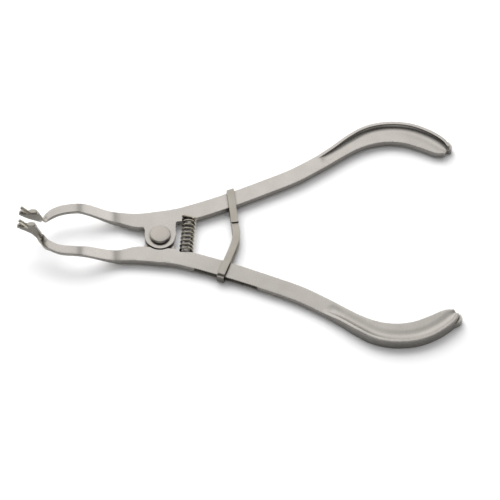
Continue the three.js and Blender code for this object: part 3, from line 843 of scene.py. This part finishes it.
def steel(
    name, light, dark, roughness, grain, crevice_shade, hollow=1.6, tip_shade_tone=None, side_shade_floor=0.0, side_shade_tone=0.36
):
    """Satin steel: drawn grain, mottling, painted shade on the side walls and in the crevices, and painted
    highlights on the edges.
    """
    material = bpy.data.materials.new(name)
    material.use_nodes = True
    tree = material.node_tree
    nodes, links = tree.nodes, tree.links
    shader = nodes["Principled BSDF"]
    shader.inputs["Metallic"].default_value = 1.0

    place = nodes.new("ShaderNodeTexCoord")

    def noise(scale, stretch, detail, rough=0.55):
        mapping = nodes.new("ShaderNodeMapping")
        mapping.inputs["Scale"].default_value = [s / MM for s in stretch]
        links.new(place.outputs["Object"], mapping.inputs["Vector"])
        texture = nodes.new("ShaderNodeTexNoise")
        texture.inputs["Scale"].default_value = scale
        texture.inputs["Detail"].default_value = detail
        texture.inputs["Roughness"].default_value = rough
        links.new(mapping.outputs["Vector"], texture.inputs["Vector"])
        return texture.outputs["Fac"]

    def ramp(value, low, high, out_low=0.0, out_high=1.0):
        node = nodes.new("ShaderNodeMapRange")
        node.inputs["From Min"].default_value = low
        node.inputs["From Max"].default_value = high
        node.inputs["To Min"].default_value = out_low
        node.inputs["To Max"].default_value = out_high
        links.new(value, node.inputs["Value"])
        return node.outputs["Result"]

    def blend_colour(a, b, factor, how="MIX"):
        node = nodes.new("ShaderNodeMix")
        node.data_type = "RGBA"
        node.blend_type = how
        for socket, value in (("Factor", factor), ("A", a), ("B", b)):
            kind = "VALUE" if socket == "Factor" else "RGBA"
            target = next(i for i in node.inputs if i.name == socket and i.type == kind)
            if isinstance(value, (tuple, float)):
                target.default_value = value
            else:
                links.new(value, target)
        return next(o for o in node.outputs if o.type == "RGBA")

    mottle = noise(0.16, (1, 1, 1), 3)
    drawn = noise(1.0, grain, 4, 0.6)
    speck = noise(3.2, (1, 1, 1), 2)

    colour = blend_colour((*dark, 1), (*light, 1), ramp(mottle, 0.3, 0.7))
    colour = blend_colour(colour, (*[c * 0.86 for c in light], 1), ramp(drawn, 0.5, 0.8, 0.0, 0.2))
    bright = [min(c * 1.12, 1) for c in light]
    colour = blend_colour(colour, (*bright, 1), ramp(speck, 0.58, 0.75, 0.0, 0.12))

    # Painted shade: towards the tips, from X -42.5 to -45 mm, the colour blends to a darker tone that stands
    # in for the shade on the blade faces.
    if tip_shade_tone:
        split = nodes.new("ShaderNodeSeparateXYZ")
        links.new(place.outputs["Object"], split.inputs["Vector"])
        colour = blend_colour(colour, (*tip_shade_tone, 1), ramp(split.outputs["X"], -42.5 * MM, -45.0 * MM))

    # Painted shade: faces that stand on edge, with a small normal Z, are multiplied darker.
    facing = nodes.new("ShaderNodeSeparateXYZ")
    links.new(place.outputs["Normal"], facing.inputs["Vector"])
    level = nodes.new("ShaderNodeMath")
    level.operation = "ABSOLUTE"
    links.new(facing.outputs["Z"], level.inputs[0])
    side = blend_colour(colour, (side_shade_tone, side_shade_tone, side_shade_tone, 1), 1.0, "MULTIPLY")
    colour = blend_colour(side, colour, ramp(level.outputs["Value"], 0.15, 0.6, side_shade_floor, 1.0))

    # Painted shade: crevices and hollows found by ambient occlusion blend towards a dark colour.
    hidden = nodes.new("ShaderNodeAmbientOcclusion")
    hidden.samples = 8
    hidden.inputs["Distance"].default_value = hollow * MM
    colour = blend_colour((*crevice_shade, 1), colour, ramp(hidden.outputs["AO"], 0.25, 0.85))

    # Painted highlight: sharp convex edges, found by pointiness, blend towards a brighter colour.
    geometry = nodes.new("ShaderNodeNewGeometry")
    edge_highlight = ramp(geometry.outputs["Pointiness"], 0.56, 0.7, 0.0, 0.15)
    colour = blend_colour(colour, (*[min(c * 1.35, 1) for c in light], 1), edge_highlight)
    links.new(colour, shader.inputs["Base Color"])

    links.new(ramp(drawn, 0.3, 0.75, roughness - 0.02, roughness + 0.04), shader.inputs["Roughness"])
    bump = nodes.new("ShaderNodeBump")
    bump.inputs["Strength"].default_value = 0.12
    bump.inputs["Distance"].default_value = 0.006 * MM
    links.new(drawn, bump.inputs["Height"])
    links.new(bump.outputs["Normal"], shader.inputs["Normal"])
    return material


ARM_STEEL = steel(
    "arm_steel",
    (0.69, 0.655, 0.61),
    (0.63, 0.595, 0.55),
    0.28,
    (0.5, 6, 6),
    (0.2, 0.18, 0.14),
    tip_shade_tone=(0.5, 0.465, 0.405),
)
RIVET_STEEL = steel(
    "rivet_steel",
    (0.68, 0.635, 0.58),
    (0.6, 0.56, 0.51),
    0.33,
    (3, 3, 3),
    (0.16, 0.14, 0.11),
)
SPRING_STEEL = steel(
    "spring_steel",
    (0.66, 0.62, 0.53),
    (0.54, 0.5, 0.41),
    0.2,
    (4, 4, 4),
    (0.05, 0.04, 0.03),
    hollow=3.2,
    side_shade_floor=0.8,
)
RING_STEEL = steel(
    "ring_steel",
    (0.58, 0.545, 0.485),
    (0.5, 0.465, 0.41),
    0.3,
    (6, 0.5, 6),
    (0.18, 0.16, 0.12),
    side_shade_tone=0.2,
)
PIN_STEEL = steel(
    "pin_steel",
    (0.58, 0.55, 0.47),
    (0.5, 0.46, 0.38),
    0.3,
    (5, 5, 5),
    (0.1, 0.09, 0.06),
    side_shade_floor=0.8,
)


def dress(obj, material, slot, *nodes):
    obj.data.materials.clear()
    obj.data.materials.append(material)
    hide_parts(*nodes)
    return obj


# ---- pieces ----------------------------------------------------------------------------------------------

upper_arm = arm_piece("upper_arm_visual", 1, SPRING_UPPER_X, TAB_RIGHT_UPPER)
dress(upper_arm, ARM_STEEL, "arm_steel", "upper_arm")
lower_arm = arm_piece("lower_arm_visual", -1, SPRING_LOWER_X, TAB_RIGHT_LOWER)
dress(lower_arm, ARM_STEEL, "arm_steel", "lower_arm")
rivet = dress(rivet_piece(), RIVET_STEEL, "rivet_steel", "pivot_rivet")
burr = dress(burr_piece(), RIVET_STEEL, "rivet_steel", "rivet_burr")
spring = dress(spring_piece(), SPRING_STEEL, "spring_steel", "return_spring")
ring = dress(ring_piece(), RING_STEEL, "ring_steel", "locking_ring")
upper_pin = dress(pin_piece("upper_pin_visual", 1), PIN_STEEL, "pin_steel", "upper_clamp_pin")
lower_pin = dress(pin_piece("lower_pin_visual", -1), PIN_STEEL, "pin_steel", "lower_clamp_pin")

for piece in (lower_arm, rivet, burr, lower_pin):
    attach(piece, "lower_handle")
for piece in (upper_arm, upper_pin):
    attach(piece, "upper_handle")
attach(ring, "ring")
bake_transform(spring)

# ---- floor, light and camera -----------------------------------------------------------------------------

VIEW_ELEVATION = math.radians(58)
VIEW_TURN = math.radians(1.5)
VIEW_DISTANCE = 1.7
VIEW_WIDTH = 0.1915
VIEW_AIM = Vector((34.3, -7.45, 4.0)) * MM
SENSOR = 36.0

# The light tent's levels, by how far a direction points along an axis: 0 is fully -, 1 is fully +.
TENT_NEAR_TO_FAR = [
    (0.0, 0.4),
    (0.12, 0.25),
    (0.22, 0.03),
    (0.34, 0.03),
    (0.5, 0.2),
    (0.62, 0.55),
    (0.71, 0.9),
    (0.77, 1.04),
    (0.86, 0.96),
    (1.0, 0.8),
]
TENT_BEAKS_TO_GRIPS = [
    (0.0, 0.9),
    (0.5, 1.0),
    (0.56, 1.0),
    (0.62, 0.35),
    (0.67, 0.35),
    (0.73, 1.15),
    (1.0, 1.0),
]


def floor_piece():
    half = FLOOR_HALF_SIZE
    z = CAD_BOX[0].z - FLOOR_DROP
    mesh = bpy.data.meshes.new("floor")
    corners = [(-half, -half, z), (half, -half, z), (half, half, z), (-half, half, z)]
    mesh.from_pydata(corners, [], [(0, 1, 2, 3)])
    floor = bpy.data.objects.new("floor", mesh)
    bpy.context.scene.collection.objects.link(floor)
    material = bpy.data.materials.new("paper")
    material.use_nodes = True
    shader = material.node_tree.nodes["Principled BSDF"]
    shader.inputs["Base Color"].default_value = (0.86, 0.86, 0.865, 1)
    shader.inputs["Roughness"].default_value = 0.9
    shader.inputs["Specular IOR Level"].default_value = 0.1
    mesh.materials.append(material)


def soft_box(name, place, aim, size, power, reflected):
    """A square soft light. One that isn't reflected casts shadows only."""
    data = bpy.data.lights.new(name, "AREA")
    data.size = size
    data.energy = power
    light = bpy.data.objects.new(name, data)
    light.location = place
    direction = Vector(aim) - Vector(place)
    light.rotation_euler = direction.to_track_quat("-Z", "Y").to_euler()
    light.visible_glossy = reflected
    light.visible_camera = False
    bpy.context.scene.collection.objects.link(light)


def studio_world():
    """A light tent, bright behind the object and dim on the near side, for the steel to reflect."""
    world = bpy.data.worlds.new("studio")
    bpy.context.scene.world = world
    world.use_nodes = True
    nodes, links = world.node_tree.nodes, world.node_tree.links
    background = nodes["Background"]
    place = nodes.new("ShaderNodeTexCoord")
    split = nodes.new("ShaderNodeSeparateXYZ")
    links.new(place.outputs["Generated"], split.inputs["Vector"])

    def levels(axis, points):
        shift = nodes.new("ShaderNodeMapRange")
        shift.inputs["From Min"].default_value = -1.0
        links.new(split.outputs[axis], shift.inputs["Value"])
        ramp = nodes.new("ShaderNodeValToRGB")
        elements = ramp.color_ramp.elements
        elements[0].position, elements[1].position = points[0][0], points[-1][0]
        for position, _ in points[1:-1]:
            elements.new(position)
        for element, (_, level) in zip(elements, points):
            element.color = (level, level, level, 1)
        links.new(shift.outputs["Result"], ramp.inputs["Fac"])
        return ramp.outputs["Color"]

    both = nodes.new("ShaderNodeVectorMath")
    both.operation = "MULTIPLY"
    links.new(levels("Y", TENT_NEAR_TO_FAR), both.inputs[0])
    links.new(levels("X", TENT_BEAKS_TO_GRIPS), both.inputs[1])
    links.new(both.outputs["Vector"], background.inputs["Color"])
    background.inputs["Strength"].default_value = 1.0


def make_camera():
    data = bpy.data.cameras.new("camera")
    data.sensor_width = SENSOR
    data.lens = SENSOR * VIEW_DISTANCE / VIEW_WIDTH
    data.clip_start, data.clip_end = 0.05, 60.0
    camera = bpy.data.objects.new("camera", data)
    level = math.cos(VIEW_ELEVATION)
    back = Vector((-math.sin(VIEW_TURN) * level, -math.cos(VIEW_TURN) * level, math.sin(VIEW_ELEVATION)))
    camera.location = VIEW_AIM + back * VIEW_DISTANCE
    camera.rotation_euler = (-back).to_track_quat("-Z", "Y").to_euler()
    bpy.context.scene.collection.objects.link(camera)
    bpy.context.scene.camera = camera


floor_piece()
studio_world()
soft_box("key", (-0.12, 0.42, 0.5), (0.03, 0.0, 0.0), 0.6, 4.2, False)
soft_box("fill", (0.03, 0.1, 1.2), (0.03, 0.0, 0.0), 2.0, 12.0, False)
make_camera()
bpy.context.scene.view_settings.view_transform = "Standard"
